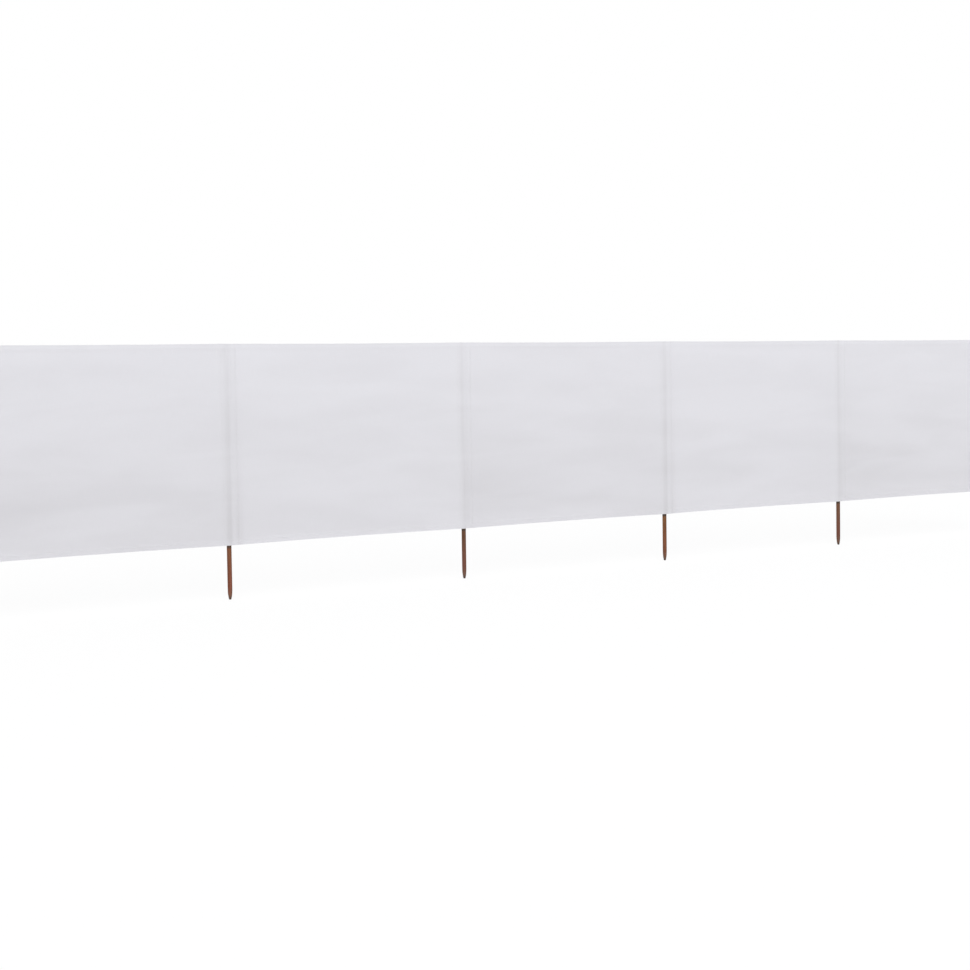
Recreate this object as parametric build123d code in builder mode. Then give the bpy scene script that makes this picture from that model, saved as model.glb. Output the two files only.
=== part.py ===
from build123d import *
from math import atan2, degrees
import os

# Beach windbreak: a taut cloth wall on round wooden poles, which slide up into pockets sewn behind it.
# X runs along the wall, the cloth's front faces -Y and Z points up.
# The origin is the centre of the blunt tip of the middle pole.

# Wall layout
bay_count = 6
bay_width = 1500.0
cloth_height = 1200.0
top_edge_sag = 3.0
bottom_edge_rise = 4.0

# Poles
pole_diameter = 28.0
pole_length = 1500.0
tip_diameter = 13.0
tip_length = 55.0
tip_chamfer = 2.5
pole_top_chamfer = 3.0

# Cloth, with the room that it leaves round a pole and above it
cloth_thickness = 0.8
pole_clearance = 0.3
pocket_headroom = 25.0
shoulder_clearance = 1.5
hem_depth = 28.0

# Pocket strip, measured from the pole's axis
pocket_seam_offset = 28.0
left_flange_width = 6.0
panel_seam_offset = 56.0
tail_past_seam = 6.0
pressed_radius = 0.6

# Places worked out from the sizes above
pole_radius = pole_diameter / 2
pocket_radius = pole_radius + pole_clearance
cloth_back_y = -pocket_radius
cloth_top = pole_length + pocket_headroom
cloth_bottom = cloth_top - cloth_height
strip_left = pocket_seam_offset + left_flange_width
strip_right = panel_seam_offset + tail_past_seam
pole_places = [(index - bay_count / 2) * bay_width for index in range(bay_count + 1)]
wall_left = pole_places[0] - strip_left
wall_right = pole_places[-1] + strip_right

# The plane of the cloth's back face; extruding from it goes towards the front of the wall
cloth_back = Plane.XZ.offset(-cloth_back_y)

os.makedirs("parts", exist_ok=True)


def cloth_outline(raised_by):
    """The whole cloth seen square on, its edges drawn in between poles, moved up by the given amount."""
    low = cloth_bottom + raised_by
    high = cloth_top + raised_by
    with BuildSketch(mode=Mode.PRIVATE) as outline:
        with BuildLine():
            Polyline((wall_left, low), (wall_left, high), (pole_places[0], high))
            for left, right in zip(pole_places, pole_places[1:]):
                ThreePointArc((left, high), ((left + right) / 2, high - top_edge_sag), (right, high))
                ThreePointArc((left, low), ((left + right) / 2, low + bottom_edge_rise), (right, low))
            Polyline((pole_places[-1], high), (wall_right, high), (wall_right, low), (pole_places[-1], low))
            Line((pole_places[0], low), (wall_left, low))
        make_face()
    return outline.sketch


def pocket_section(height, round_radius):
    """Section of a pocket strip: flat on the cloth to its seams, then tangent to a round of this radius."""
    # The round touches the cloth's back face, so the strip leaves the seam at twice this angle
    seam_angle = degrees(atan2(round_radius, pocket_seam_offset))
    with BuildSketch(Plane(origin=(place, cloth_back_y, height))) as section:
        with BuildLine():
            top_round = CenterArc((0, round_radius), round_radius, 90 - 2 * seam_angle, 4 * seam_angle)
            Line((pocket_seam_offset, 0), top_round @ 0)
            Line(top_round @ 1, (-pocket_seam_offset, 0))
            Line((-pocket_seam_offset, 0), (-strip_left, 0))
            Line((strip_right, 0), (pocket_seam_offset, 0))
            offset(amount=cloth_thickness, side=Side.RIGHT, kind=Kind.INTERSECTION)
        make_face()
    return section.sketch


# Poles: a dowel with its top edge eased, turned down to a blunt tip that is driven into the sand
for number, place in enumerate(pole_places, start=1):
    with BuildPart() as pole:
        with BuildSketch(Plane(origin=(place, 0, 0), x_dir=(1, 0, 0), z_dir=(0, -1, 0))):
            with BuildLine():
                Polyline(
                    (0, 0),
                    (tip_diameter / 2, 0),
                    (pole_radius, tip_length),
                    (pole_radius, pole_length),
                    (0, pole_length),
                    close=True,
                )
            make_face()
        revolve(axis=Axis((place, 0, 0), (0, 0, 1)))
        chamfer(pole.edges().filter_by(GeomType.CIRCLE).sort_by(Axis.Z)[0], tip_chamfer)
        chamfer(pole.edges().filter_by(GeomType.CIRCLE).sort_by(Axis.Z)[-1], pole_top_chamfer)
    pole.part.label = f"pole_{number}"
    export_step(pole.part, f"parts/pole_{number}.step")

# Pockets: a strip that runs flat to a seam, round the back of the pole and flat again, with a wide
# tail behind the seam between two panels; above the pole it closes to the cloth's top edge
for number, place in enumerate(pole_places, start=1):
    shoulder = pole_length + shoulder_clearance
    with BuildPart() as pocket:
        extrude(pocket_section(cloth_bottom, pocket_radius), amount=shoulder - cloth_bottom)
        shoulder_sections = (pocket_section(shoulder, pocket_radius), pocket_section(cloth_top, pressed_radius))
        loft([section.face() for section in shoulder_sections], ruled=True)
    pocket.part.label = f"pocket_{number}"
    export_step(pocket.part, f"parts/pocket_{number}.step")

# Panels and hems: each panel runs from seam to seam across the front of a pole, and its top and
# bottom edges are turned over to the back between one pocket strip and the next
for number in range(1, bay_count + 1):
    left_pole, right_pole = pole_places[number - 1], pole_places[number]
    panel_left = wall_left if number == 1 else left_pole + panel_seam_offset
    panel_right = wall_right if number == bay_count else right_pole + panel_seam_offset
    hem_left, hem_right = left_pole + strip_right, right_pole - strip_left

    with BuildPart() as panel:
        with BuildSketch(cloth_back):
            add(cloth_outline(0))
            with Locations(((panel_left + panel_right) / 2, (cloth_bottom + cloth_top) / 2)):
                Rectangle(panel_right - panel_left, cloth_height, mode=Mode.INTERSECT)
        extrude(amount=cloth_thickness)
    panel.part.label = f"panel_{number}"
    export_step(panel.part, f"parts/panel_{number}.step")

    for edge, cut_shift in (("top", -hem_depth), ("bottom", hem_depth)):
        with BuildPart() as hem:
            with BuildSketch(cloth_back):
                add(cloth_outline(0))
                add(cloth_outline(cut_shift), mode=Mode.SUBTRACT)
                with Locations(((hem_left + hem_right) / 2, (cloth_bottom + cloth_top) / 2)):
                    Rectangle(hem_right - hem_left, cloth_height, mode=Mode.INTERSECT)
            extrude(amount=-cloth_thickness)
        hem.part.label = f"{edge}_hem_{number}"
        export_step(hem.part, f"parts/{edge}_hem_{number}.step")
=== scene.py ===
"""Dresses the beach windbreak: stained stakes, canvas bays, sewn pockets, turned hems and their stitching."""

import logging
import math
from dataclasses import dataclass, field
from enum import Enum

import bmesh
import bpy
import numpy as np
from bpy.types import Material, Node, NodeSocket, Object, World
from mathutils import Matrix, Vector
from numpy import ndarray as Array


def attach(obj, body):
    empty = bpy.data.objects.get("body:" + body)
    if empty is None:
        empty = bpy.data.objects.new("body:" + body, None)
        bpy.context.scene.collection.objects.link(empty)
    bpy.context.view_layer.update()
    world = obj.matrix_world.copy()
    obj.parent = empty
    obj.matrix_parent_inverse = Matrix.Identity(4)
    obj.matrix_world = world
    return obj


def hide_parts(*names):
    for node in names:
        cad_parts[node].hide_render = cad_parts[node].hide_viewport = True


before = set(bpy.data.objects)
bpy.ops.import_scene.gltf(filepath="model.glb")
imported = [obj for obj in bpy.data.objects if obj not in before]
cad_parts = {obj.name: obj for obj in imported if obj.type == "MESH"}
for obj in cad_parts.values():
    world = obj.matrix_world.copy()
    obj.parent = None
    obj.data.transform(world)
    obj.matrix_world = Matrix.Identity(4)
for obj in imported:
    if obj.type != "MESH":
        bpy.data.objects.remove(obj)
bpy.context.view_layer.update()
SHEET_SHARP = 48.0
STAKE_SHARP = 60.0

log = logging.getLogger("windbreak")


class Edge(Enum):
    """The two long edges of the cloth, each turned over to the back."""

    TOP = "top"
    BOTTOM = "bottom"

    @property
    def inwards(self) -> float:
        """The sign of the way up or down from the edge into the cloth."""
        return -1.0 if self is Edge.TOP else 1.0


class Face(Enum):
    """The side of a sheet that a row of stitches shows on, as the sign of its way out along Y."""

    FRONT = -1.0
    BACK = 1.0


class Stain(Enum):
    """How a stake took its stain, as the tint that multiplies the wood's colour."""

    RED = (1.02, 0.95, 0.97)
    BROWN = (0.98, 1.0, 0.86)
    DULL = (0.80, 0.90, 1.10)


# Shapes shared by every piece


def bell(value: Array, centre: float, width: float, power: float = 2.0) -> Array:
    """A bell curve, one at its centre: e to minus a power of the distance over the width."""
    return np.exp(-(np.abs((value - centre) / width) ** power))


def running(steps: Array, axis: int = 0) -> Array:
    """The running sum of steps along an axis, from zero."""
    return np.insert(np.cumsum(steps, axis=axis), 0, 0, axis=axis)


def quads_between(index: Array, beside: Array) -> Array:
    """The quads between columns of vertex indices and the columns beside them."""
    return np.stack([index[:-1], beside[:-1], beside[1:], index[1:]], axis=-1).reshape(-1, 4)


@dataclass(frozen=True)
class Folds:
    """The soft relief of a bay's cloth, as the ranges that its sizes are drawn from, in metres."""

    count: int = 8
    seed: int = 23
    heights: tuple = (0.36, 1.46)
    jitter: tuple = (-0.07, 0.07)
    tilt: tuple = (-0.16, 0.12)
    sag: tuple = (-0.045, 0.012)
    width: tuple = (0.045, 0.13)
    rise: tuple = (-0.0040, 0.0036)
    billow: tuple = (-0.002, 0.004)
    fade_power: float = 1.3
    belly_power: float = 0.8
    flutter: float = 0.0011
    flutter_length: float = 0.37
    flutter_shift: float = 1.7
    top_lip: float = 0.06
    bottom_lip: float = 0.05


@dataclass(frozen=True)
class WallPlan:
    """The windbreak's plan in metres, and the shape that its stretched cloth takes."""

    bays: int = 6
    bay_width: float = 1.5
    pole_radius: float = 0.014
    pole_length: float = 1.5
    clearance: float = 0.0003
    cloth: float = 0.0008
    top: float = 1.525
    bottom: float = 0.325
    top_sag: float = 0.003
    bottom_rise: float = 0.004
    seam: float = 0.028
    join: float = 0.056
    join_gap: float = 0.0004
    strip_left: float = 0.034
    strip_right: float = 0.062
    hem: float = 0.028
    pole_press: float = 0.0018
    press_width: float = 0.017
    seam_groove: float = 0.0005
    groove_width: float = 0.0035
    folds: Folds = Folds()

    def pole_places(self) -> Array:
        """The x of every pole's axis."""
        return (np.arange(self.bays + 1) - self.bays / 2) * self.bay_width

    def bay_of(self, x: Array) -> Array:
        """The index of the bay that each x lies in."""
        return np.clip(np.floor(x / self.bay_width + self.bays / 2), 0, self.bays - 1).astype(int)

    def across(self, x: Array) -> Array:
        """How far across its bay each x lies, from 0 at the left pole to 1 at the right one."""
        return np.clip(x / self.bay_width + self.bays / 2 - self.bay_of(x), 0.0, 1.0)

    def from_pole(self, x: Array) -> Array:
        """The signed distance of each x from the nearest pole's axis, positive to its right."""
        places = self.pole_places()
        return x - places[np.abs(x[..., None] - places).argmin(axis=-1)]

    def edge_height(self, x: Array, edge: Edge) -> Array:
        """The height of a long edge at each x: drawn in between poles along a parabola.

        Args:
            x: places along the wall.
            edge: the top or the bottom edge.

        Returns:
            The edge's z at each place.
        """
        u = self.across(x)
        bow = 4.0 * u * (1.0 - u)
        if edge is Edge.TOP:
            return self.top - self.top_sag * bow
        return self.bottom + self.bottom_rise * bow

    def depth(self, x: Array, z: Array) -> Array:
        """The y of the cloth's middle surface.

        It is the front plane, plus a valley that falls back on both sides of a pole as one minus a bell curve
        of the distance to it, plus a narrow bell-shaped groove along each seam, plus long soft ridges in each
        bay. A ridge is a bell curve across a line that runs from pole to pole and sags as a parabola. A
        shallow belly rises as a half sine, a sine along the wall flutters the long edges, and all of these
        fade at the poles as a half sine.

        Args:
            x: places along the wall.
            z: heights, in an array of the same shape.

        Returns:
            The y of the middle surface at each place.
        """
        off = self.from_pole(x)
        u, bay = self.across(x), self.bay_of(x)
        plane = -(self.pole_radius + self.clearance + self.cloth / 2)
        valley = self.pole_press * (1.0 - bell(off, 0.0, self.press_width))
        groove = sum(bell(off, at, self.groove_width) for at in (-self.seam, self.seam, self.join))
        folds = self.folds
        rng = np.random.default_rng(folds.seed)
        shape = (self.bays, folds.count)
        height = np.linspace(*folds.heights, folds.count) + rng.uniform(*folds.jitter, shape)
        tilt, sag, width, rise = (
            rng.uniform(*limits, shape) for limits in (folds.tilt, folds.sag, folds.width, folds.rise)
        )
        ridges = np.zeros_like(x)
        for index in range(folds.count):
            line = height[bay, index] + tilt[bay, index] * (u - 0.5) + sag[bay, index] * 4 * u * (1 - u)
            ridges += rise[bay, index] * bell(z, line, width[bay, index])
        share = np.clip((z - self.bottom) / (self.top - self.bottom), 0, 1)
        belly = rng.uniform(*folds.billow, self.bays)[bay] * np.sin(np.pi * share) ** folds.belly_power
        flutter = folds.flutter * np.sin(2 * np.pi * x / folds.flutter_length + bay * folds.flutter_shift)
        reach = np.exp(-(self.top - z) / folds.top_lip) - np.exp(-(z - self.bottom) / folds.bottom_lip)
        fade = np.sin(np.pi * u) ** folds.fade_power
        return plane + valley + self.seam_groove * groove + fade * (ridges + belly + flutter * reach)

    def behind(self, x: Array | float, z: Array) -> Array:
        """The y of the middle surface of a layer that lies behind the cloth."""
        return self.depth(*np.broadcast_arrays(x, z)) + self.cloth

    def stitch_line(self, x: Array, z: Array) -> list[tuple[Array, Face]]:
        """One line of stitches, as it shows on the panel's front and on the layer sewn behind it.

        Args:
            x: places along the wall.
            z: the height at each of them.

        Returns:
            The line on each side, with the side it shows on.
        """
        y = self.depth(x, z)
        sides = ((y - self.cloth * 0.5, Face.FRONT), (y + self.cloth * 1.5, Face.BACK))
        return [(np.stack([x, across, z], axis=-1), face) for across, face in sides]


@dataclass(frozen=True)
class Grid:
    """Spacings of the rows and columns that a cloth surface is worked out on, in metres."""

    wide: float = 0.014
    near_pole: float = 0.0035
    pole_zone: float = 0.09
    pole_fade: float = 0.015
    tall: float = 0.009
    near_edge: float = 0.004
    edge_zone: float = 0.045
    edge_fade: float = 0.008
    samples: int = 4000

    def columns(self, plan: WallPlan, left: float, right: float) -> Array:
        """Spaces the columns, close together round the poles and wide apart between them.

        The pace passes from the near one to the wide one as an S curve of the distance to a pole.

        Args:
            plan: the windbreak's plan.
            left: the first place.
            right: the last place.

        Returns:
            The places from left to right.
        """
        fine = np.linspace(left, right, self.samples)
        past = np.abs(plan.from_pole(fine)) - self.pole_zone
        pace = self.near_pole + (self.wide - self.near_pole) / (1 + np.exp(-past / self.pole_fade))
        return self._even(fine, pace)

    def rows(self, plan: WallPlan) -> Array:
        """Spaces the rows, close together at the two long edges, by the same S curve.

        Args:
            plan: the windbreak's plan.

        Returns:
            Shares of the cloth's height from 0 to 1.
        """
        fine, tall = np.linspace(0.0, 1.0, self.samples), plan.top - plan.bottom
        past = np.minimum(fine, 1 - fine) * tall - self.edge_zone
        pace = self.near_edge + (self.tall - self.near_edge) / (1 + np.exp(-past / self.edge_fade))
        return self._even(fine, pace / tall)

    @staticmethod
    def _even(fine: Array, pace: Array) -> Array:
        """Places whose steps follow a local pace: equal steps of the running sum of one over the pace.

        Args:
            fine: finely spaced places in order.
            pace: the step wanted at each of them.

        Returns:
            The chosen places, with the first and last of the fine ones.
        """
        steps = running(np.diff(fine) / pace[1:])
        return np.interp(np.linspace(0, steps[-1], int(round(steps[-1])) + 1), steps, fine)


def new_piece(name: str, points: Array, quads: Array, triangles: Array = np.zeros((0, 3), int)) -> Object:
    """Makes a smooth mesh object from arrays.

    Args:
        name: the piece's name.
        points: vertex places, one row each.
        quads: four vertex indices a row.
        triangles: three vertex indices a row.

    Returns:
        The linked object, at the origin.
    """
    loops = np.concatenate([quads.ravel(), triangles.ravel()]).astype(np.int32)
    sizes = np.concatenate([np.full(len(quads), 4), np.full(len(triangles), 3)]).astype(np.int32)
    mesh = bpy.data.meshes.new(name)
    mesh.vertices.add(len(points))
    mesh.vertices.foreach_set("co", np.asarray(points, np.float32).ravel())
    mesh.loops.add(len(loops))
    mesh.loops.foreach_set("vertex_index", loops)
    mesh.polygons.add(len(sizes))
    mesh.polygons.foreach_set("loop_start", running(sizes)[:-1].astype(np.int32))
    mesh.update(calc_edges=True)
    mesh.validate()
    mesh.shade_smooth()
    piece = bpy.data.objects.new(name, mesh)
    bpy.context.scene.collection.objects.link(piece)
    return piece


def set_cloth_map(piece: Object, places: Array) -> None:
    """Gives a piece a UV map named cloth.

    Args:
        piece: the piece.
        places: the u and v of each vertex, in metres.
    """
    mesh = piece.data
    owner = np.zeros(len(mesh.loops), np.int32)
    mesh.loops.foreach_get("vertex_index", owner)
    layer = mesh.uv_layers.new(name="cloth")
    layer.data.foreach_set("uv", places[owner].astype(np.float32).ravel())


def set_shade(piece: Object, name: str, values: Array) -> None:
    """Stores one number at each vertex under a name that a material reads."""
    layer = piece.data.attributes.new(name, "FLOAT", "POINT")
    layer.data.foreach_set("value", values.astype(np.float32).ravel())


def closed_sheet(name: str, middle: Array, thickness: float, soil: Array, pull: Array) -> Object:
    """Makes a closed thin sheet round a middle surface.

    Each vertex of the middle surface gives two, half a thickness along plus and minus the unit normal, which
    is the step along the columns crossed with the step along the rows. A rim of quads joins the two layers.

    Args:
        name: the piece's name.
        middle: places of the middle surface, as rows by columns by three.
        thickness: the sheet's thickness.
        soil: how far each place is darkened, from 0 to 1, as rows by columns: dirt, and on the panels painted
            shade too.
        pull: how much a seam puckers each place, from 0 to 1, in the same shape.

    Returns:
        The sheet, with a UV map in metres along its surface and its darkening and pull stored.
    """
    rows, columns = middle.shape[:2]
    normal = np.cross(np.gradient(middle, axis=1), np.gradient(middle, axis=0))
    normal /= np.linalg.norm(normal, axis=2, keepdims=True)
    front = (middle + normal * thickness / 2).reshape(-1, 3)
    back = (middle - normal * thickness / 2).reshape(-1, 3)
    index = np.arange(rows * columns).reshape(rows, columns)
    face = quads_between(index[:, :-1], index[:, 1:])
    reverse = face[:, ::-1] + rows * columns
    loop = np.concatenate([index[0, :-1], index[:-1, -1], index[-1, :0:-1], index[:0:-1, 0]])
    after = np.roll(loop, -1)
    rim = np.stack([loop, loop + rows * columns, after + rows * columns, after], axis=-1)
    piece = new_piece(name, np.concatenate([front, back]), np.concatenate([face, reverse, rim]))
    u, v = (running(np.linalg.norm(np.diff(middle, axis=axis), axis=2), axis) for axis in (1, 0))
    flat = np.stack([u + middle[0, 0, 0], v], axis=-1).reshape(-1, 2)
    set_cloth_map(piece, np.concatenate([flat, flat]))
    # The stored darkening is dirt, and on the panels painted shade as well.
    for layer, values in (("soil", soil), ("pull", pull)):
        set_shade(piece, layer, np.concatenate([values.ravel(), values.ravel()]))
    piece.data.set_sharp_from_angle(angle=math.radians(SHEET_SHARP))
    return piece


# Finishes


class Shader:
    """The nodes of one material or of the surroundings, added and joined by name."""

    def __init__(self, owner: Material | World) -> None:
        """Starts without nodes.

        Args:
            owner: the material or the world.
        """
        self.owner = owner
        owner.use_nodes = True
        self.tree = owner.node_tree
        self.tree.nodes.clear()

    def add(self, kind: str, settings: dict | None = None, **sockets: object) -> Node:
        """Adds a node.

        Args:
            kind: the node's type, without its ShaderNode prefix.
            settings: properties of the node itself.
            sockets: values or output sockets for its inputs, with the spaces in their names left out.

        Returns:
            The new node.
        """
        node = self.tree.nodes.new("ShaderNode" + kind)
        for key, value in (settings or {}).items():
            setattr(node, key, value)
        plain = {}
        for socket in node.inputs:
            plain.setdefault(socket.name.replace(" ", ""), socket)
        for key, value in sockets.items():
            target = node.inputs[int(key[1:])] if key[0] == "_" else plain[key]
            if isinstance(value, NodeSocket):
                self.tree.links.new(value, target)
            else:
                target.default_value = value
        return node

    def math(self, operation: str, *terms: object) -> NodeSocket:
        """The result of a Math node on up to three values or sockets."""
        values = {f"_{place}": term for place, term in enumerate(terms)}
        return self.add("Math", {"operation": operation}, **values).outputs[0]

    def weigh(self, *parts: tuple[NodeSocket, float]) -> NodeSocket:
        """Adds values up, each times its own weight.

        Args:
            parts: pairs of a value and its weight.

        Returns:
            The sum.
        """
        total, *others = [self.math("MULTIPLY", value, weight) for value, weight in parts]
        for other in others:
            total = self.math("ADD", total, other)
        return total

    def remap(self, value: NodeSocket, *limits: float) -> NodeSocket:
        """Carries a value along a smooth step.

        Args:
            value: the value.
            limits: where the step starts and ends, and then what the value becomes at each.

        Returns:
            The carried value.
        """
        node = self.add("MapRange", {"interpolation_type": "SMOOTHSTEP"}, Value=value)
        for key, number in zip(("From Min", "From Max", "To Min", "To Max"), limits):
            node.inputs[key].default_value = number
        return node.outputs[0]

    def noise(self, where: NodeSocket, scale: tuple, detail: float = 3.0, warp: float = 0.0) -> NodeSocket:
        """Soft noise, with a scale in waves a metre along each axis."""
        mapped = self.add("Mapping", Vector=where, Scale=scale).outputs[0]
        return self.add("TexNoise", Vector=mapped, Scale=1.0, Detail=detail, Distortion=warp).outputs[0]

    def blend(self, share: object, first: object, second: object, how: str = "MIX") -> NodeSocket:
        """Mixes two colours.

        Args:
            share: how much of the second one shows.
            first: the first colour.
            second: the second colour.
            how: the way of mixing.

        Returns:
            The mixed colour.
        """
        node = self.add("Mix", {"data_type": "RGBA", "blend_type": how})
        for key, value in ((0, share), (6, first), (7, second)):
            if isinstance(value, NodeSocket):
                self.tree.links.new(value, node.inputs[key])
            else:
                node.inputs[key].default_value = value
        return node.outputs[2]

    def finish(self, surface: NodeSocket) -> Material:
        """Joins the surface to the output and returns the material."""
        self.add("OutputMaterial", Surface=surface)
        return self.owner


@dataclass(frozen=True)
class CanvasFinish:
    """Plain woven canvas that lets a little light through."""

    name: str = "canvas"
    colour: tuple = (0.842, 0.839, 0.876, 1.0)
    # The dark colour stands for dirt, and on the panels for painted shade as well.
    soiled: tuple = (0.62, 0.61, 0.63, 1.0)
    thread: float = 0.0009
    through: float = 0.12
    rough: float = 0.86
    weave_share: float = 0.55
    weave_depth: float = 0.00025
    weave_strength: float = 0.35
    slub_scales: tuple = ((22.0, 900.0, 1.0), (900.0, 16.0, 1.0))
    slub_tone: float = 0.055
    crease_scale: tuple = (3.5, 26.0, 1.0)
    crease_depth: float = 0.0022
    crease_strength: float = 0.15
    gather_scale: tuple = (75.0, 95.0, 1.0)
    gather_depth: float = 0.0030
    gather_strength: float = 0.8
    mottle_scale: tuple = (1.2, 5.0, 1.0)
    mottle_swing: float = 0.15
    mottle_span: tuple = (0.25, 0.75)
    mottle_soil: float = 0.06
    stain_span: tuple = (0.32, 0.68)
    gloss: float = 0.25
    sheen: float = 0.08
    sheen_rough: float = 0.6

    def make(self) -> Material:
        """Builds the material.

        The weave's height is the absolute product of a sine along each thread direction. Long noise along
        each makes the slubs, and noise weighted by the stored pull puckers the cloth along its seams. The
        colour falls to the dark one by the stored darkening, which is dirt and, on the panels, painted shade
        as well, broken up by soft noise.

        Returns:
            The canvas material.
        """
        shader = Shader(bpy.data.materials.new(self.name))
        place = shader.add("UVMap", {"uv_map": "cloth"}).outputs[0]
        parts = shader.add("SeparateXYZ", Vector=place)
        turns = math.pi / self.thread
        warp, weft = [shader.math("SINE", shader.math("MULTIPLY", way, turns)) for way in parts.outputs[:2]]
        crossing = shader.math("ABSOLUTE", shader.math("MULTIPLY", warp, weft))
        slubs = shader.math("ADD", *[shader.noise(place, scale, 2.0) for scale in self.slub_scales])
        height = shader.weigh((crossing, self.weave_share), (slubs, 1 - self.weave_share))
        relief = shader.add("Bump", Strength=self.weave_strength, Distance=self.weave_depth, Height=height)
        crease = shader.noise(place, self.crease_scale, 3.0, 0.6)
        folds = shader.add(
            "Bump",
            Strength=self.crease_strength,
            Distance=self.crease_depth,
            Height=crease,
            Normal=relief.outputs[0],
        )
        pull, stored = [
            shader.add("Attribute", {"attribute_name": name}).outputs["Fac"] for name in ("pull", "soil")
        ]
        pulled = shader.math("MULTIPLY", shader.noise(place, self.gather_scale, 2.0, 0.3), pull)
        pressed = shader.add(
            "Bump",
            Strength=self.gather_strength,
            Distance=self.gather_depth,
            Height=pulled,
            Normal=folds.outputs[0],
        )
        mottle = shader.noise(place, self.mottle_scale, 2.5, 0.4)
        swing = shader.remap(mottle, *self.mottle_span, 1 - self.mottle_swing, 1 + self.mottle_swing)
        patchy = shader.math("MULTIPLY", stored, swing)
        soil = shader.math("ADD", patchy, shader.remap(mottle, *self.stain_span, 0.0, self.mottle_soil))
        # Falls to the dark colour by dirt and, on the panels, by painted shade.
        grey = shader.blend(soil, self.colour, self.soiled)
        spun = shader.math("MULTIPLY_ADD", slubs, self.slub_tone, 1 - self.slub_tone)
        shade = shader.blend(1.0, grey, spun, "MULTIPLY")
        cloth = shader.add(
            "BsdfPrincipled",
            BaseColor=shade,
            Roughness=self.rough,
            SpecularIORLevel=self.gloss,
            SheenWeight=self.sheen,
            SheenRoughness=self.sheen_rough,
            Normal=pressed.outputs[0],
        )
        glow = shader.add("BsdfTranslucent", Color=shade, Normal=pressed.outputs[0])
        both = shader.add("MixShader", _0=self.through, _1=cloth.outputs[0], _2=glow.outputs[0])
        return shader.finish(both.outputs[0])


@dataclass(frozen=True)
class ThreadFinish:
    """Twisted white sewing thread."""

    name: str = "sewing_thread"
    light: tuple = (0.82, 0.815, 0.84, 1.0)
    dark: tuple = (0.70, 0.69, 0.71, 1.0)
    worn_scale: tuple = (60.0, 60.0, 60.0)
    worn_span: tuple = (0.35, 0.7)
    twist_scale: float = 420.0
    twist_depth: float = 0.0002
    twist_strength: float = 0.4
    rough: float = 0.6

    def make(self) -> Material:
        """Builds the material: fine noise makes some stitches duller, and a slanting wave twists the thread.

        Returns:
            The thread material.
        """
        shader = Shader(bpy.data.materials.new(self.name))
        place = shader.add("TexCoord").outputs["Object"]
        worn = shader.noise(place, self.worn_scale, 3.0)
        shade = shader.blend(shader.remap(worn, *self.worn_span, 0.0, 1.0), self.light, self.dark)
        twist = shader.add("TexWave", {"bands_direction": "DIAGONAL"}, Vector=place, Scale=self.twist_scale)
        relief = shader.add(
            "Bump", Strength=self.twist_strength, Distance=self.twist_depth, Height=twist.outputs["Fac"]
        )
        cover = shader.add("BsdfPrincipled", BaseColor=shade, Roughness=self.rough, Normal=relief.outputs[0])
        return shader.finish(cover.outputs[0])


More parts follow.
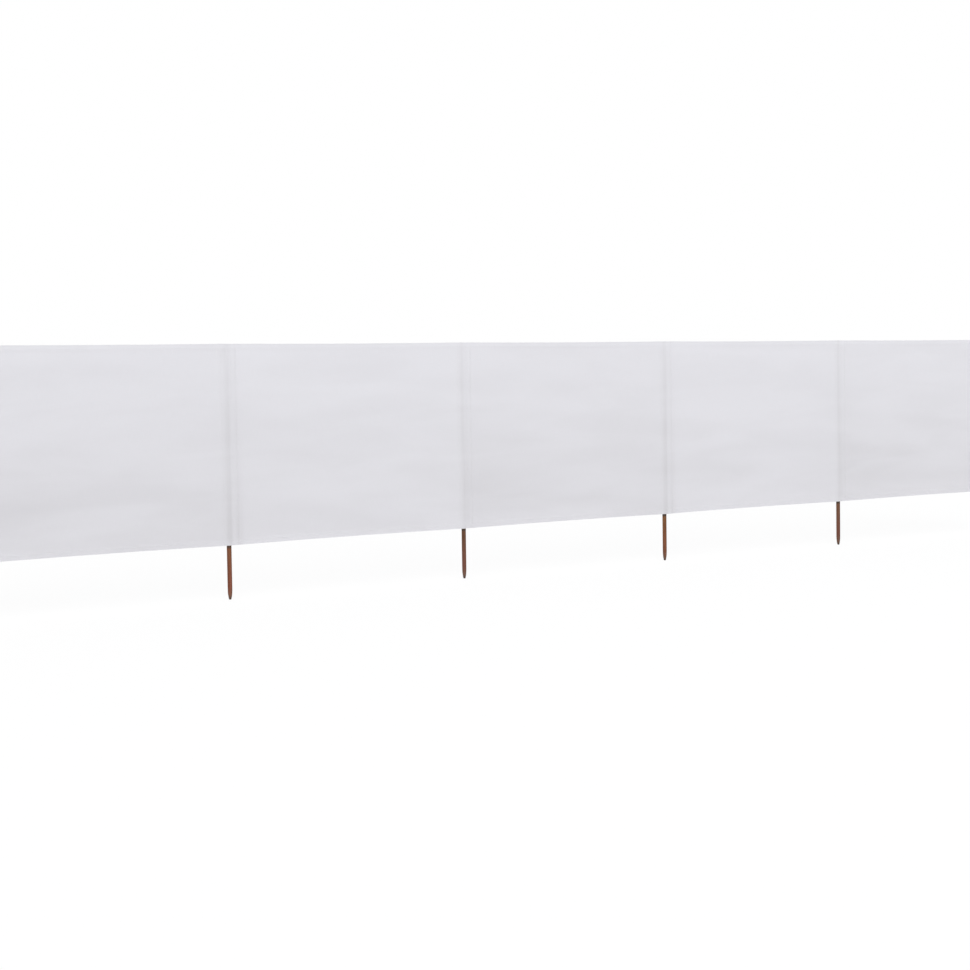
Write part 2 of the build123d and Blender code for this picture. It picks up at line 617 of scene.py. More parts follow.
@dataclass(frozen=True)
class WoodFinish:
    """Stained softwood: reddish brown along the shaft, darkened by painted shade just under the cloth and worn
    at the tip.
    """

    stain: Stain = Stain.RED
    dark: tuple = (0.085, 0.030, 0.014, 1.0)
    middle: tuple = (0.186, 0.066, 0.031, 1.0)
    light: tuple = (0.275, 0.118, 0.062, 1.0)
    worn: tuple = (0.150, 0.098, 0.066, 1.0)
    upper_tone: tuple = (0.98, 1.07, 0.95, 1.0)
    lower_tone: tuple = (1.03, 0.95, 1.04, 1.0)
    # The grime colour darkens the dirty tip, and paints shade in a ring just under the cloth.
    grime_and_shade: tuple = (0.045, 0.036, 0.030, 1.0)
    mouth: float = 0.325
    streak_scale: tuple = (95.0, 95.0, 2.6)
    fibre_scale: tuple = (620.0, 620.0, 11.0)
    patch_scale: tuple = (14.0, 14.0, 5.0)
    grain_shares: tuple = (0.55, 0.30, 0.15)
    grain_span: tuple = (0.33, 0.68)
    grain_depth: float = 0.0004
    grain_strength: float = 0.5
    tone_span: tuple = (0.10, 0.30)
    rubbed_span: tuple = (0.085, 0.012)
    rubbed_share: float = 0.75
    dirty_span: tuple = (0.032, 0.004)
    dirty_share: float = 0.62
    shade_ring_span: tuple = (0.021, 0.011)
    shade_ring_share: float = 0.82
    rough: tuple = (0.72, 0.5)
    gloss: float = 0.25

    def make(self) -> Material:
        """Builds the material.

        Noise stretched along the pole gives broad streaks and fine fibres, and their sum picks a colour from
        dark to light. Height blends in the worn tip, with its dirty end, and a ring of painted shade just under
        the cloth, where the cloth's edge shades the pole.

        Returns:
            The wood material for this stain.
        """
        shader = Shader(bpy.data.materials.new("stained_wood_" + self.stain.name.lower()))
        place = shader.add("TexCoord").outputs["Object"]
        height = shader.add("SeparateXYZ", Vector=place).outputs[2]
        streaks = shader.noise(place, self.streak_scale, 4.0, 1.2)
        fibres = shader.noise(place, self.fibre_scale, 3.0, 0.4)
        patches = shader.noise(place, self.patch_scale, 3.0, 0.3)
        grain = shader.weigh(*zip((streaks, fibres, patches), self.grain_shares))
        ramp = shader.add("ValToRGB", Fac=grain)
        stops = ramp.color_ramp.elements
        stops[0].position, stops[1].position = self.grain_span
        stops[0].color, stops[1].color = self.dark, self.light
        stops.new(0.5).color = self.middle
        stained = shader.blend(1.0, ramp.outputs[0], (*self.stain.value, 1.0), "MULTIPLY")
        upper = shader.remap(height, *self.tone_span, 0.0, 1.0)
        tone = shader.blend(upper, self.lower_tone, self.upper_tone)
        tinted = shader.blend(1.0, stained, tone, "MULTIPLY")
        rubbed = shader.math(
            "MULTIPLY",
            shader.remap(height, *self.rubbed_span, 0.0, self.rubbed_share),
            shader.remap(fibres, 0.3, 0.6, 1.0, 0.6),
        )
        bare = shader.blend(rubbed, tinted, self.worn)
        dirty = shader.remap(height, *self.dirty_span, 0.0, self.dirty_share)
        end = shader.blend(dirty, bare, self.grime_and_shade)
        # Painted shade: a dark ring on the pole just under the cloth's lower edge, where the cloth shades it.
        ring = shader.math(
            "MULTIPLY",
            shader.remap(height, *(self.mouth - below for below in self.shade_ring_span), 0.0, self.shade_ring_share),
            shader.remap(patches, 0.3, 0.6, 0.8, 1.0),
        )
        shade = shader.blend(ring, end, self.grime_and_shade)
        relief = shader.add("Bump", Strength=self.grain_strength, Distance=self.grain_depth, Height=grain)
        cover = shader.add(
            "BsdfPrincipled",
            BaseColor=shade,
            Roughness=shader.remap(fibres, 0.3, 0.7, *self.rough),
            SpecularIORLevel=self.gloss,
            Normal=relief.outputs[0],
        )
        return shader.finish(cover.outputs[0])


@dataclass
class FinishSet:
    """Every finish of the windbreak, each made once."""

    canvas: Material = field(default_factory=CanvasFinish().make)
    pocket: Material = field(
        default_factory=CanvasFinish("pocket_canvas", (0.812, 0.806, 0.836, 1.0), thread=0.0008).make
    )
    hem: Material = field(default_factory=CanvasFinish("hem_canvas", (0.815, 0.812, 0.838, 1.0)).make)
    thread: Material = field(default_factory=ThreadFinish().make)
    wood: dict = field(default_factory=lambda: {stain: WoodFinish(stain).make() for stain in Stain})


@dataclass
class SubAssembly:
    """A part of the windbreak by its number along the wall, with the plan and the finishes it is made to."""

    plan: WallPlan
    finishes: FinishSet
    number: int

    @property
    def place(self) -> float:
        """The x of the axis of the pole with this number."""
        return float(self.plan.pole_places()[self.number - 1])


def dress(piece: Object, finish: Material) -> None:
    """Gives a finished piece its material and slot, fixes it to the row and reports it.

    Args:
        piece: the piece.
        finish: its material.
    """
    piece.data.materials.clear()
    piece.data.materials.append(finish)
    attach(piece, "root")
    log.info("%-20s %7d faces, %s", piece.name, len(piece.data.polygons), finish.name)


# Sub-assemblies


@dataclass
class Stake(SubAssembly):
    """One round stake: a turned shaft with an eased top and a blunt tapered tip that the sand has worn."""

    tip_radius: float = 0.0072
    tip_length: float = 0.055
    tip_ease: float = 0.0025
    top_ease: float = 0.003
    segments: int = 64
    tip_rings: int = 34
    shaft_rings: int = 110
    top_rings: int = 7
    tip_crowding: float = 1.5
    shaft_margins: tuple = (0.006, 0.004)
    seed: int = 100
    fullness: float = 0.22
    blend: float = 0.00035
    wear_reach: float = 0.03
    worn: float = 0.05
    flats: tuple = ((5, 0.10), (3, 0.07))
    flat_share: float = 0.35
    dents: tuple = (7, 0.06, 160.0)
    warp: float = 0.00010
    warp_climb: float = 3.1
    stains: tuple = (Stain.BROWN, Stain.RED, Stain.RED, Stain.DULL, Stain.BROWN, Stain.DULL, Stain.RED)

    def profile(self) -> tuple[Array, Array]:
        """Heights of the rings, and the radius at each.

        The radius is the least of the shaft's own and a cone from the tip to the end of the taper, which half
        a sine makes a little full and a soft minimum blends into the shaft, less a quarter round at each end.

        Returns:
            The heights from the tip up, and the radii.
        """
        length, radius = self.plan.pole_length, self.plan.pole_radius
        below, above = self.shaft_margins
        tip = self.tip_length * np.linspace(0, 1, self.tip_rings) ** self.tip_crowding
        shaft = np.linspace(self.tip_length + below, length - self.top_ease - above, self.shaft_rings)
        top = length - self.top_ease * np.cos(np.linspace(0, np.pi / 2, self.top_rings))
        height = np.concatenate([tip, shaft, top])
        share = np.clip(height / self.tip_length, 0, 2)
        full = self.fullness * np.sin(np.pi * np.clip(share, 0, 1))
        cone = self.tip_radius + (radius - self.tip_radius) * (share + full)
        body = cone - self.blend * np.log1p(np.exp(np.clip((cone - radius) / self.blend, -50, 50)))
        foot = np.clip(1 - height / self.tip_ease, 0, 1)
        head = np.clip((height - (length - self.top_ease)) / self.top_ease, 0, 1)
        eased = self.tip_ease * (1 - np.sqrt(1 - foot**2)) + self.top_ease * (1 - np.sqrt(1 - head**2))
        return height, np.minimum(body, radius) - eased

    def build(self) -> Object:
        """Turns the stake: the profile carried round the axis, with worn flats and dents at the tip.

        Each flat or dent is a cosine round the axis, and their depth fades up the tip as a falling exponential.
        The shaft warps by a cosine twice round it that turns slowly on the way up.

        Returns:
            The dressed stake.
        """
        height, radius = self.profile()
        turn = np.arange(self.segments) * 2 * np.pi / self.segments
        rng = np.random.default_rng(self.seed + self.number)
        start = rng.uniform(0, 2 * np.pi, 4)
        wear = np.exp(-height / self.wear_reach)[:, None]
        flats = sum(deep * np.cos(lobes * turn + at) for (lobes, deep), at in zip(self.flats, start))
        lobes, deep, climb = self.dents
        dents = deep * np.cos(lobes * turn + start[2] + height[:, None] * climb)
        deepest = sum(flat[1] for flat in self.flats)
        scale = 1 - wear * (self.worn + self.flat_share * (deepest + flats) * 0.5 + dents * 0.5)
        shaft = -self.warp * (1 + np.cos(2 * turn + start[3] + height[:, None] * self.warp_climb))
        ring = radius[:, None] * scale + shaft
        z = np.broadcast_to(height[:, None], ring.shape)
        points = np.stack([self.place + ring * np.cos(turn), ring * np.sin(turn), z], axis=-1).reshape(-1, 3)
        ends = np.array([[self.place, 0, 0.0], [self.place, 0, self.plan.pole_length]])
        index = np.arange(len(points)).reshape(ring.shape)
        right = np.roll(index, -1, axis=1)
        foot, head = (np.full(self.segments, len(points) + end) for end in (0, 1))
        caps = np.concatenate([[foot, right[0], index[0]], [head, index[-1], right[-1]]], axis=1).T
        quads = quads_between(index, right)
        piece = new_piece(f"turned_pole_{self.number}", np.concatenate([points, ends]), quads, caps)
        piece.data.set_sharp_from_angle(angle=math.radians(STAKE_SHARP))
        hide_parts(f"pole_{self.number}")
        dress(piece, self.finishes.wood[self.stains[self.number - 1]])
        return piece


@dataclass
class StitchRow:
    """A run of lockstitches along a line on a sheet.

    The rim gives the points of a ring as shares of half the width and of the height, and the rings give the
    place of each ring as a share of half the length, with its size.
    """

    pitch: float = 0.0058
    length: float = 0.0043
    width: float = 0.0011
    height: float = 0.0006
    rim: tuple = ((1.0, 0.0), (0.55, 0.85), (-0.55, 0.85), (-1.0, 0.0), (0.0, -1 / 3))
    rings: tuple = ((-0.74, 0.78), (0.0, 1.0), (0.74, 0.78))
    dive: float = 0.2
    slant: float = 0.05
    step: float = 0.002

    def along(self, line: Array, out: Array) -> tuple[Array, Array, Array]:
        """Lays stitches end to end along a finely divided line.

        Each stitch is a rounded spindle: two ends that dive into the cloth and three flattened rings between
        them, the middle one fullest, set out along the line's direction, across it and out from the cloth.

        Args:
            line: places along the line, in order.
            out: the way out from the cloth, as one unit vector.

        Returns:
            The vertices, the quads and the triangles of every stitch.
        """
        run = running(np.linalg.norm(np.diff(line, axis=0), axis=1))
        count = max(int(run[-1] / self.pitch), 1)
        middle = (np.arange(count) + 0.5) * run[-1] / count
        behind, centre, ahead = (
            np.stack([np.interp(middle + shift, run, line[:, axis]) for axis in range(3)], axis=-1)
            for shift in (-self.step, 0.0, self.step)
        )
        way = (ahead - behind) / np.linalg.norm(ahead - behind, axis=1, keepdims=True)
        side = np.cross(way, out)
        rng = np.random.default_rng(count)
        side = side + way * rng.normal(0, self.slant, (count, 1))
        body = [[at, size * across, size * lift] for at, size in self.rings for across, lift in self.rim]
        shares = np.array([[-1, 0, -self.dive], *body, [1, 0, -self.dive]])
        spindle = shares * (self.length / 2, self.width / 2, self.height)
        points = (
            centre[:, None, :]
            + spindle[None, :, :1] * way[:, None, :]
            + spindle[None, :, 1:2] * side[:, None, :]
            + spindle[None, :, 2:] * out
        )
        base = np.arange(count)[:, None, None] * len(spindle)
        sides = len(self.rim)
        near = 1 + np.arange(sides)
        after, far = np.roll(near, -1), near + 2 * sides
        band = np.stack([near, near + sides, after + sides, after], axis=-1)
        quads = np.concatenate([band, band + sides])
        first = np.stack([np.zeros(sides, int), near, after], axis=-1)
        last = np.stack([np.full(sides, len(spindle) - 1), after + 2 * sides, far], axis=-1)
        tips = np.concatenate([first, last])
        return points.reshape(-1, 3), (quads[None] + base).reshape(-1, 4), (tips[None] + base).reshape(-1, 3)


def sew(name: str, rows: list[tuple[Array, Face]], thread: Material) -> Object:
    """Sews several rows of stitches as one piece, with every face turned outwards.

    Args:
        name: the piece's name.
        rows: each row's line and the side of the cloth it shows on.
        thread: the thread's material.

    Returns:
        The dressed stitching.
    """
    made = [StitchRow().along(line, np.array([0.0, face.value, 0.0])) for line, face in rows]
    points, quads, tips = zip(*made)
    first = running(np.array([len(row) for row in points]))
    quads, tips = (np.concatenate([row + at for row, at in zip(faces, first)]) for faces in (quads, tips))
    piece = new_piece(name, np.concatenate(points), quads, tips)
    mesh = bmesh.new()
    mesh.from_mesh(piece.data)
    bmesh.ops.recalc_face_normals(mesh, faces=mesh.faces)
    mesh.to_mesh(piece.data)
    mesh.free()
    dress(piece, thread)
    return piece


@dataclass
class PolePocket(SubAssembly):
    """The strip sewn behind the cloth round one pole, with a tail behind the join of two panels."""

    closed_radius: float = 0.0006
    shoulder: float = 1.5015
    rows: tuple = (0, 8, 125, 136)
    mouth_band: float = 0.04
    measured_row: int = 60
    samples: int = 400
    seed: int = 300
    mouth_hem: float = 0.022
    mouth_lift: float = 0.0004
    slack: float = 0.0016
    waves: tuple = ((41, 2.2), (17, -1.4))
    flange_columns: int = 4
    straight_columns: int = 8
    round_columns: int = 27
    tail_columns: int = 12
    edge_margin: float = 0.004
    join_stitch: float = 0.0035
    soiled: float = 0.04
    soiled_mouth: float = 0.30
    mouth_reach: float = 0.05
    pull_width: float = 0.008

    def heights(self) -> Array:
        """Heights of the rows, closer together at the mouth and where the pocket closes over the pole."""
        ends = (self.plan.bottom, self.plan.bottom + self.mouth_band, self.shoulder, self.plan.top)
        return np.interp(np.arange(self.rows[-1] + 1), self.rows, ends)

    def section(self, z: Array) -> Array:
        """The strip's middle surface at each height.

        From its left edge the strip lies on the cloth's back to the seam, runs straight until it touches a
        circle round the pole, follows the circle's back, runs straight to the other seam and lies flat again
        to its right edge. The touching angle at a seam is the seam's own angle seen from the circle's centre,
        turned by the arc cosine of the radius over its distance. Above the pole the circle shrinks along a
        smooth step, and slack in the strip lifts the back outwards in slanting waves.

        Args:
            z: the heights of the rows.

        Returns:
            Places of the middle surface, as rows by columns by three.
        """
        plan, tall = self.plan, z[:, None]
        closing = np.clip((tall - self.shoulder) / (plan.top - self.shoulder), 0, 1)
        closing = closing * closing * (3 - 2 * closing)
        inner = plan.pole_radius + plan.clearance
        centre = (self.closed_radius - inner) * closing
        radius = inner + centre + plan.cloth / 2
        ends = []
        for sign in (-1.0, 1.0):
            x = self.place + sign * plan.seam
            y = plan.behind(x, tall)
            seen = np.arctan2(y - centre, sign * plan.seam)
            seen = np.mod(seen, 2 * np.pi) if sign < 0 else seen
            share = np.clip(radius / np.hypot(plan.seam, y - centre), -1, 1)
            ends.append((x, y, seen + sign * np.arccos(share)))
        (x_left, y_left, stop), (x_right, y_right, start) = ends
        share = np.linspace(0, 1, self.round_columns)
        turn = stop + (start - stop) * share
        rng = np.random.default_rng(self.seed + self.number)
        wave = sum(np.sin(tall * up + turn * way + rng.uniform(0, 6)) for up, way in self.waves)
        lift = self.slack * 0.25 * (2 + wave) * np.sin(np.pi * share) * (1 - closing)
        reach = radius + lift + self.mouth_lift * (tall < plan.bottom + self.mouth_hem)
        arc_x, arc_y = self.place + reach * np.cos(turn), centre + reach * np.sin(turn)
        run = np.linspace(0, 1, self.straight_columns)[:-1]
        back = 1 - run[::-1]
        flange = np.linspace(self.place - plan.strip_left, x_left, self.flange_columns)[:-1]
        tail = np.linspace(x_right, self.place + plan.strip_right, self.tail_columns)[1:]
        to_arc = x_left + (arc_x[:, :1] - x_left) * run, y_left + (arc_y[:, :1] - y_left) * run
        off_arc = [end[:, -1:] + (to - end[:, -1:]) * back for end, to in ((arc_x, x_right), (arc_y, y_right))]
        flats = [np.broadcast_to(flat, (len(z), len(flat))) for flat in (flange, tail)]
        x = np.concatenate([flats[0], to_arc[0], arc_x, off_arc[0], flats[1]], axis=1)
        y = [plan.behind(flange, tall), to_arc[1], arc_y, off_arc[1], plan.behind(tail, tall)]
        upper = (tall - plan.bottom) / (plan.top - plan.bottom)
        drawn = upper * (plan.edge_height(x, Edge.TOP) - plan.top)
        drawn += (1 - upper) * (plan.edge_height(x, Edge.BOTTOM) - plan.bottom)
        return np.stack([x, np.concatenate(y, axis=1), tall + drawn], axis=-1)

    def stitch_lines(self) -> list[tuple[Array, Face]]:
        """Lays out the pocket's two seams, and a row on each side of the panel join.

        Returns:
            Each row's line, with the side it shows on.
        """
        plan = self.plan
        z = np.linspace(plan.bottom + self.edge_margin, plan.top - self.edge_margin, self.samples)
        offs = (-plan.seam, plan.seam, plan.join - self.join_stitch, plan.join + self.join_stitch)
        return [row for off in offs for row in plan.stitch_line(np.full_like(z, self.place + off), z)]

    def build(self) -> Object:
        """Returns:
            The dressed strip.
        """
        z = self.heights()
        middle = self.section(z)
        above = middle[..., 2] - self.plan.bottom
        soil = self.soiled_mouth * np.exp(-above / self.mouth_reach) + self.soiled
        off = middle[..., 0] - self.place
        seams = (-self.plan.seam, self.plan.seam, self.plan.join)
        pull = np.clip(sum(bell(off, at, self.pull_width) for at in seams), 0, 1)
        piece = closed_sheet(f"pocket_strip_{self.number}", middle, self.plan.cloth, soil, pull)
        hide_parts(f"pocket_{self.number}")
        dress(piece, self.finishes.pocket)
        name = f"pocket_stitches_{self.number}"
        stitches = sew(name, self.stitch_lines(), self.finishes.thread)
        return piece


@dataclass(frozen=True)
class Mark:
    """A dark line beside a pole, used both for dust and for painted shade: its darkening at the head and the
    foot, carried by a bell curve across it.
    """

    off: float
    width: float
    head: float
    foot: float
    power: float = 2.0
    growth: float = 1.0

    def soil(self, off: Array, low: Array) -> Array:
        """The darkening by the distance to the pole and by how low a place is, from 0 to 1."""
        strength = self.head + (self.foot - self.head) * low**self.growth
        return strength * bell(off, self.off, self.width, self.power)


@dataclass(frozen=True)
class Patch:
    """A patch of painted shade on a bay, or of painted light where its amount is below zero, as one bell curve
    across it and another up it.
    """

    amount: float
    across: float
    wide: float
    height: float
    tall: float
    slope: float = 0.0

    def soil(self, u: Array, z: Array) -> Array:
        """The painted shade by the share across the bay and the height."""
        up = bell(z, self.height + self.slope * u, self.tall)
        return self.amount * bell(u, self.across, self.wide) * up


@dataclass(frozen=True)
class SoilAndShade:
    """How the panels are darkened, by dirt and by painted shade, as shares of the canvas's dark colour.

    Loose poles are every second one from the first. There a wide band of painted shade stands for the pole
    behind the cloth and a band of painted shade lies over the strip's tail; at the tight ones the cloth over
    the tail is painted lighter.
    """

    base: float = 0.12
    # Painted shade beside a loose pole: the pole behind the cloth, and a band over the strip's tail.
    loose: tuple = (
        Mark(0.003, 0.018, 0.11, 0.23, 2.6),
        Mark(0.012, 0.008, 0.03, 0.11),
        Mark(0.062, 0.024, 0.0, 0.13, 4.0, 1.5),
    )
    # Painted shade beside a tight pole, and painted light (below zero) over the strip's tail.
    tight: tuple = (
        Mark(-0.004, 0.013, 0.12, 0.15, 2.6),
        Mark(-0.003, 0.006, 0.02, 0.04),
        Mark(0.022, 0.012, 0.0, 0.04),
        Mark(0.044, 0.020, -0.055, -0.030, 4.0),
    )
    # Dust in the seams, partly painted shade of the seam lines.
    dust_and_shade: tuple = (
        Mark(-0.028, 0.0035, 0.009, 0.030),
        Mark(0.028, 0.0035, 0.009, 0.030),
        Mark(0.056, 0.0040, 0.012, 0.040),
    )
    # A painted shade patch low in odd bays, and a painted light streak near the top of the others.
    shade_patch: Patch = Patch(0.09, 0.16, 0.30, 0.62, 0.24)
    light_streak: Patch = Patch(-0.09, 0.10, 0.40, 1.47, 0.05, -0.05)
    # Painted shade, darker towards the bottom of the cloth.
    shade_downwards: tuple = (0.18, 0.25)
    shade_downwards_growth: float = 1.7
    # Painted light on the double cloth of the turned edges, and near the lower edge.
    turned: float = 0.09
    turned_blend: float = 0.0015
    foot: float = 0.065
    foot_reach: float = 0.10
    corner: float = 0.04
    corner_reach: float = 0.12

    def at(self, plan: WallPlan, x: Array, z: Array) -> Array:
        """How far the panels are darkened at each place, by dirt and by painted shade.

        Dust and painted shade lie in each seam. Painted shade runs beside each pole and, at loose
        poles, over the strip's tail; at tight poles the cloth over the tail is painted lighter. The
        lower corner to the right of a pole is darker. Every second bay has a patch of painted shade
        low down and the others a streak of painted light near the top. A half sine paints shade on
        the cloth, darker towards the bottom, and gives way near the lower edge. The turned edges,
        where the cloth is double, are painted lighter.

        Args:
            plan: the windbreak's plan.
            x: places along the wall.
            z: heights, in an array of the same shape.

        Returns:
            The darkening by dirt and painted shade, from 0 to 1.
        """
        off, u, odd = plan.from_pole(x), plan.across(x), plan.bay_of(x) % 2 == 1
        low = np.clip((plan.top - z) / (plan.top - plan.bottom), 0, 1)
        above, below = z - plan.edge_height(x, Edge.BOTTOM), plan.edge_height(x, Edge.TOP) - z
        dust_and_shade, loose, tight = (
            sum(mark.soil(off, low) for mark in marks) for marks in (self.dust_and_shade, self.loose, self.tight)
        )
        is_loose = np.round((x - off) / plan.bay_width + plan.bays / 2).astype(int) % 2 == 0
        corner = np.exp(-np.clip(off, 0, None) / self.corner_reach - above / self.corner_reach) * (off > 0)
        # Painted shade patch in odd bays, painted light streak in the others.
        patch = np.where(odd, self.shade_patch.soil(u, z), self.light_streak.soil(u, z))
        # Painted shade, darker towards the bottom, stronger in odd bays.
        grey = np.where(odd, self.shade_downwards[1], self.shade_downwards[0]) * np.sin(np.pi / 2 * low) ** self.shade_downwards_growth
        # Painted light on the turned edges and near the lower edge.
        turned = self.turned / (1 + np.exp((np.minimum(above, below) - plan.hem) / self.turned_blend))
        lightened = turned + self.foot * np.exp(-above / self.foot_reach)
        # Dust, painted shade beside the poles and in the seams, and a darker lower corner.
        marks = dust_and_shade + np.where(is_loose, loose, tight) + self.corner * corner
        return self.base + marks + patch + grey - lightened


@dataclass
class Bay(SubAssembly):
    """One bay of the wall: the panel from join to join, and its turned top and bottom hems."""

    grid: Grid = field(default_factory=Grid)
    pull_width: float = 0.009
    hem_pull: float = 0.5
    stitch_inset: float = 0.004
    samples: int = 700
    hem_roll: float = 0.0007
    roll_from: float = 0.16
    ripple: float = 0.3
    ripple_pace: float = 37.0
    draw: float = 0.35
    draw_from: float = 0.9
    hem_soiled: float = 0.03
    fold_soiled: tuple = (0.05, 0.25)
    gather: tuple = (0.8, 0.15, 0.25)
    hem_rows: tuple = (0.0, 0.08, 0.16, 0.3, 0.45, 0.6, 0.75, 0.86, 0.93, 0.97, 1.0)

    @property
    def hem_ends(self) -> tuple[float, float]:
        """The x of the hems' left and right ends, at the pocket strips."""
        plan = self.plan
        return self.place + plan.strip_right, self.place + plan.bay_width - plan.strip_left

    @property
    def ends(self) -> tuple[float, float]:
        """The x of the panel's left and right ends.

        Returns:
            The joins at its two poles, or the end of a strip at an end of the wall.
        """
        plan, next_place = self.plan, self.place + self.plan.bay_width
        first, last = self.number == 1, self.number == plan.bays
        left = self.place + (-plan.strip_left if first else plan.join + plan.join_gap / 2)
        return left, next_place + (plan.strip_right if last else plan.join - plan.join_gap / 2)

    def pull(self, x: Array, z: Array) -> Array:
        """How much the panel puckers at each place: a bell curve across every seam and hem stitch line.

        Args:
            x: places along the wall.
            z: heights, in an array of the same shape.

        Returns:
            The pull from 0 to 1.
        """
        plan = self.plan
        off = plan.from_pole(x)
        near = sum(bell(off, at, self.pull_width) for at in (-plan.seam, plan.seam, plan.join))
        for edge in Edge:
            line = plan.edge_height(x, edge) + edge.inwards * plan.hem
            near = near + self.hem_pull * bell(z, line, self.pull_width)
        return np.clip(near, 0, 1)

    def build_panel(self) -> Object:
        """Makes the panel: the wall's shape on a grid between the two long edges and the two joins.

        Returns:
            The dressed panel.
        """
        x = self.grid.columns(self.plan, *self.ends)
        v = self.grid.rows(self.plan)
        low, high = self.plan.edge_height(x, Edge.BOTTOM), self.plan.edge_height(x, Edge.TOP)
        z = low + v[:, None] * (high - low)
        wide = np.broadcast_to(x, z.shape)
        middle = np.stack([wide, self.plan.depth(wide, z), z], axis=-1)
        soil, pull = SoilAndShade().at(self.plan, wide, z), self.pull(wide, z)
        piece = closed_sheet(f"canvas_panel_{self.number}", middle, self.plan.cloth, soil, pull)
        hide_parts(f"panel_{self.number}")
        dress(piece, self.finishes.canvas)
        return piece

    def build_hem(self, edge: Edge) -> Object:
        """Makes one turned hem behind the panel.

        Across the hem, from its cut edge to the fold, the middle surface lies one thickness behind the
        panel's, lifts as a half sine into a soft roll and draws in to the panel at the fold.

        Args:
            edge: the edge that is turned.

        Returns:
            The dressed hem.
        """
        plan = self.plan
        x = self.grid.columns(plan, *self.hem_ends)
        q = np.array(self.hem_rows)[:, None]
        z = plan.edge_height(x, edge) + edge.inwards * plan.hem * (1 - q)
        if edge is Edge.BOTTOM:
            z, q = z[::-1], q[::-1]
        wide = np.broadcast_to(x, z.shape)
        roll = self.hem_roll * np.sin(np.pi * np.clip(q - self.roll_from, 0, 1) / (1 - self.roll_from))
        roll = roll * (1 - self.ripple + self.ripple * np.sin(wide * self.ripple_pace + self.number))
        draw = self.draw * plan.cloth * np.clip((q - self.draw_from) / (1 - self.draw_from), 0, 1) ** 2
        middle = np.stack([wide, plan.depth(wide, z) + plan.cloth + roll - draw, z], axis=-1)
        fold = self.fold_soiled[edge is Edge.BOTTOM]
        soil = self.hem_soiled + fold * np.broadcast_to(q, z.shape) ** 4
        most, at, reach = self.gather
        pull = np.broadcast_to(most * np.exp(-((q - at) / reach) ** 2), z.shape)
        piece = closed_sheet(f"turned_{edge.value}_hem_{self.number}", middle, plan.cloth, soil, pull)
        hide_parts(f"{edge.value}_hem_{self.number}")
        dress(piece, self.finishes.hem)
        return piece

    def hem_lines(self) -> list[tuple[Array, Face]]:
        """Lays out the line of stitches that holds each hem.

        Returns:
            Each row's line, with the side it shows on.
        """
        plan, inset = self.plan, self.plan.hem - self.stitch_inset
        x = np.linspace(*self.hem_ends, self.samples)
        heights = [plan.edge_height(x, edge) + edge.inwards * inset for edge in Edge]
        return [row for z in heights for row in plan.stitch_line(x, z)]

    def build(self) -> Object:
        """Returns:
            The dressed panel.
        """
        panel = self.build_panel()
        hems = [self.build_hem(edge) for edge in Edge]
        stitches = sew(f"hem_stitches_{self.number}", self.hem_lines(), self.finishes.thread)
        left, right = self.ends
        return panel


# Studio


@dataclass(frozen=True)
class Viewpoint:
    """The photograph's camera."""

    place: tuple = (-2.61, -6.782, 1.353)
    yaw: float = 22.233
    pitch: float = 1.706
    roll: float = -0.864
    focal: float = 1127.9
    picture: float = 970.0
    drop: float = 82.5
    sensor: float = 36.0

    def build(self) -> Object:
        """Sets up the camera, turned by yaw from +Y towards +X, tipped down by pitch and rolled about its axis.

        Returns:
            The camera.
        """
        yaw, pitch, roll = (math.radians(angle) for angle in (self.yaw, self.pitch, self.roll))
        turns = ((-yaw, "Z"), (math.pi / 2 - pitch, "X"), (roll, "Z"))
        about_up, tipped, rolled = (Matrix.Rotation(angle, 4, axis) for angle, axis in turns)
        data = bpy.data.cameras.new("camera")
        data.sensor_width = self.sensor
        data.lens = self.focal / self.picture * self.sensor
        data.shift_y = -self.drop / self.picture
        camera = bpy.data.objects.new("camera", data)
        camera.matrix_world = Matrix.Translation(self.place) @ about_up @ tipped @ rolled
        bpy.context.scene.collection.objects.link(camera)
        bpy.context.scene.camera = camera
        return camera


@dataclass(frozen=True)
class Lamp:
    """A broad distant lamp: its strength, the way its light travels, the angle it fills and its colour."""

    name: str
    level: float
    towards: tuple
    spread: float
    colour: tuple = (1.0, 1.0, 1.0)

    def build(self) -> Object:
        """Adds the lamp.

        Returns:
            The lamp.
        """
        data = bpy.data.lights.new(self.name, "SUN")
        data.energy, data.angle, data.color = self.level, math.radians(self.spread), self.colour
        lamp = bpy.data.objects.new(self.name, data)
        lamp.rotation_mode = "QUATERNION"
        lamp.rotation_quaternion = Vector(self.towards).to_track_quat("-Z", "Y")
        bpy.context.scene.collection.objects.link(lamp)
        return lamp


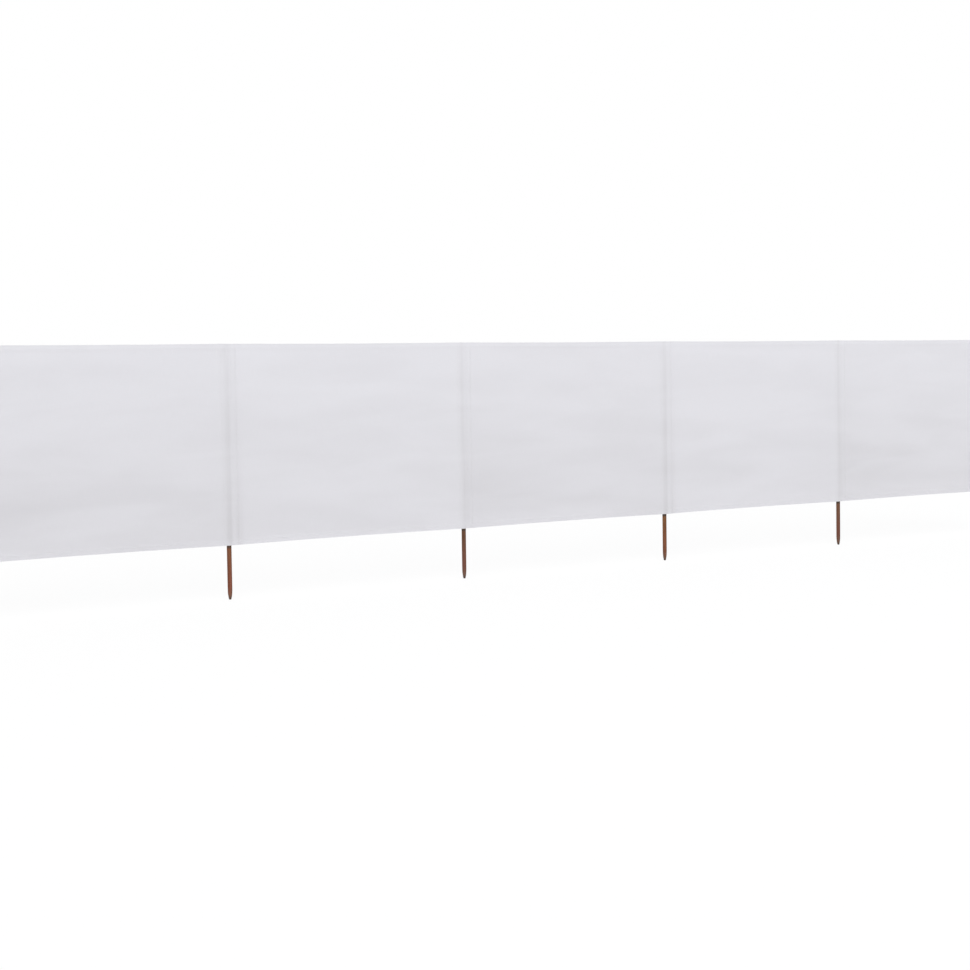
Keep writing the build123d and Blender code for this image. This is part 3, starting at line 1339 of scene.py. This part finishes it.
@dataclass(frozen=True)
class Studio:
    """A pale floor, white surroundings and plain soft light."""

    floor_size: float = 160.0
    floor_colour: tuple = (0.74, 0.74, 0.74, 1.0)
    white_share: float = 0.86
    white: tuple = (1.0, 1.0, 1.0, 1.0)
    floor_level: float = 1.03
    sky: tuple = (0.96, 0.97, 1.0, 1.0)
    sky_level: float = 0.585
    lamps: tuple = (
        Lamp("key", 1.70, (0.35, 0.75, -0.8), 70.0, (1.0, 0.99, 0.97)),
        Lamp("back", 0.80, (-0.2, -0.7, -0.9), 80.0),
    )

    @staticmethod
    def seen_white(shader: Shader) -> NodeSocket:
        """Picks out rays from the camera, straight or by gloss or glass.

        Args:
            shader: the nodes of a material or of the surroundings.

        Returns:
            One for such a ray, and zero for light itself.
        """
        path = shader.add("LightPath").outputs
        mirrored = shader.math("MAXIMUM", path["Is Glossy Ray"], path["Is Transmission Ray"])
        return shader.math("MAXIMUM", path["Is Camera Ray"], mirrored)

    def build_floor(self) -> Object:
        """Lays the floor, which looks white but keeps a faint shadow.

        Returns:
            The floor.
        """
        half = self.floor_size / 2
        corner = np.array([[-half, -half, 0], [half, -half, 0], [half, half, 0], [-half, half, 0]])
        floor = new_piece("floor", corner, np.array([[0, 1, 2, 3]]))
        shader = Shader(bpy.data.materials.new("floor_paper"))
        share = shader.math("MULTIPLY", self.seen_white(shader), self.white_share)
        paper = shader.add("BsdfDiffuse", Color=self.floor_colour)
        white = shader.add("Emission", Color=self.white, Strength=self.floor_level)
        both = shader.add("MixShader", _0=share, _1=paper.outputs[0], _2=white.outputs[0])
        floor.data.materials.append(shader.finish(both.outputs[0]))
        return floor

    def build_sky(self) -> None:
        """Makes the surroundings: white to the eye, a level soft light to the object."""
        world = bpy.data.worlds.new("studio")
        shader = Shader(world)
        soft = shader.add("Background", Color=self.sky, Strength=self.sky_level)
        white = shader.add("Background", Color=self.white, Strength=1.0)
        both = shader.add("MixShader", _0=self.seen_white(shader), _1=soft.outputs[0], _2=white.outputs[0])
        shader.add("OutputWorld", Surface=both.outputs[0])
        bpy.context.scene.world = world

    def build(self) -> None:
        """Sets up the floor, the surroundings and the lamps."""
        self.build_floor()
        self.build_sky()
        for lamp in self.lamps:
            lamp.build()
        bpy.context.scene.view_settings.view_transform = "Standard"


def main() -> None:
    """Builds the studio, then the stakes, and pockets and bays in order."""
    logging.basicConfig(level=logging.INFO, format="%(message)s")
    Viewpoint().build()
    Studio().build()
    plan = WallPlan()
    finishes = FinishSet()
    for number in range(1, plan.bays + 2):
        Stake(plan, finishes, number).build()
        PolePocket(plan, finishes, number).build()
    for number in range(1, plan.bays + 1):
        Bay(plan, finishes, number).build()


if __name__ == "__main__":
    main()
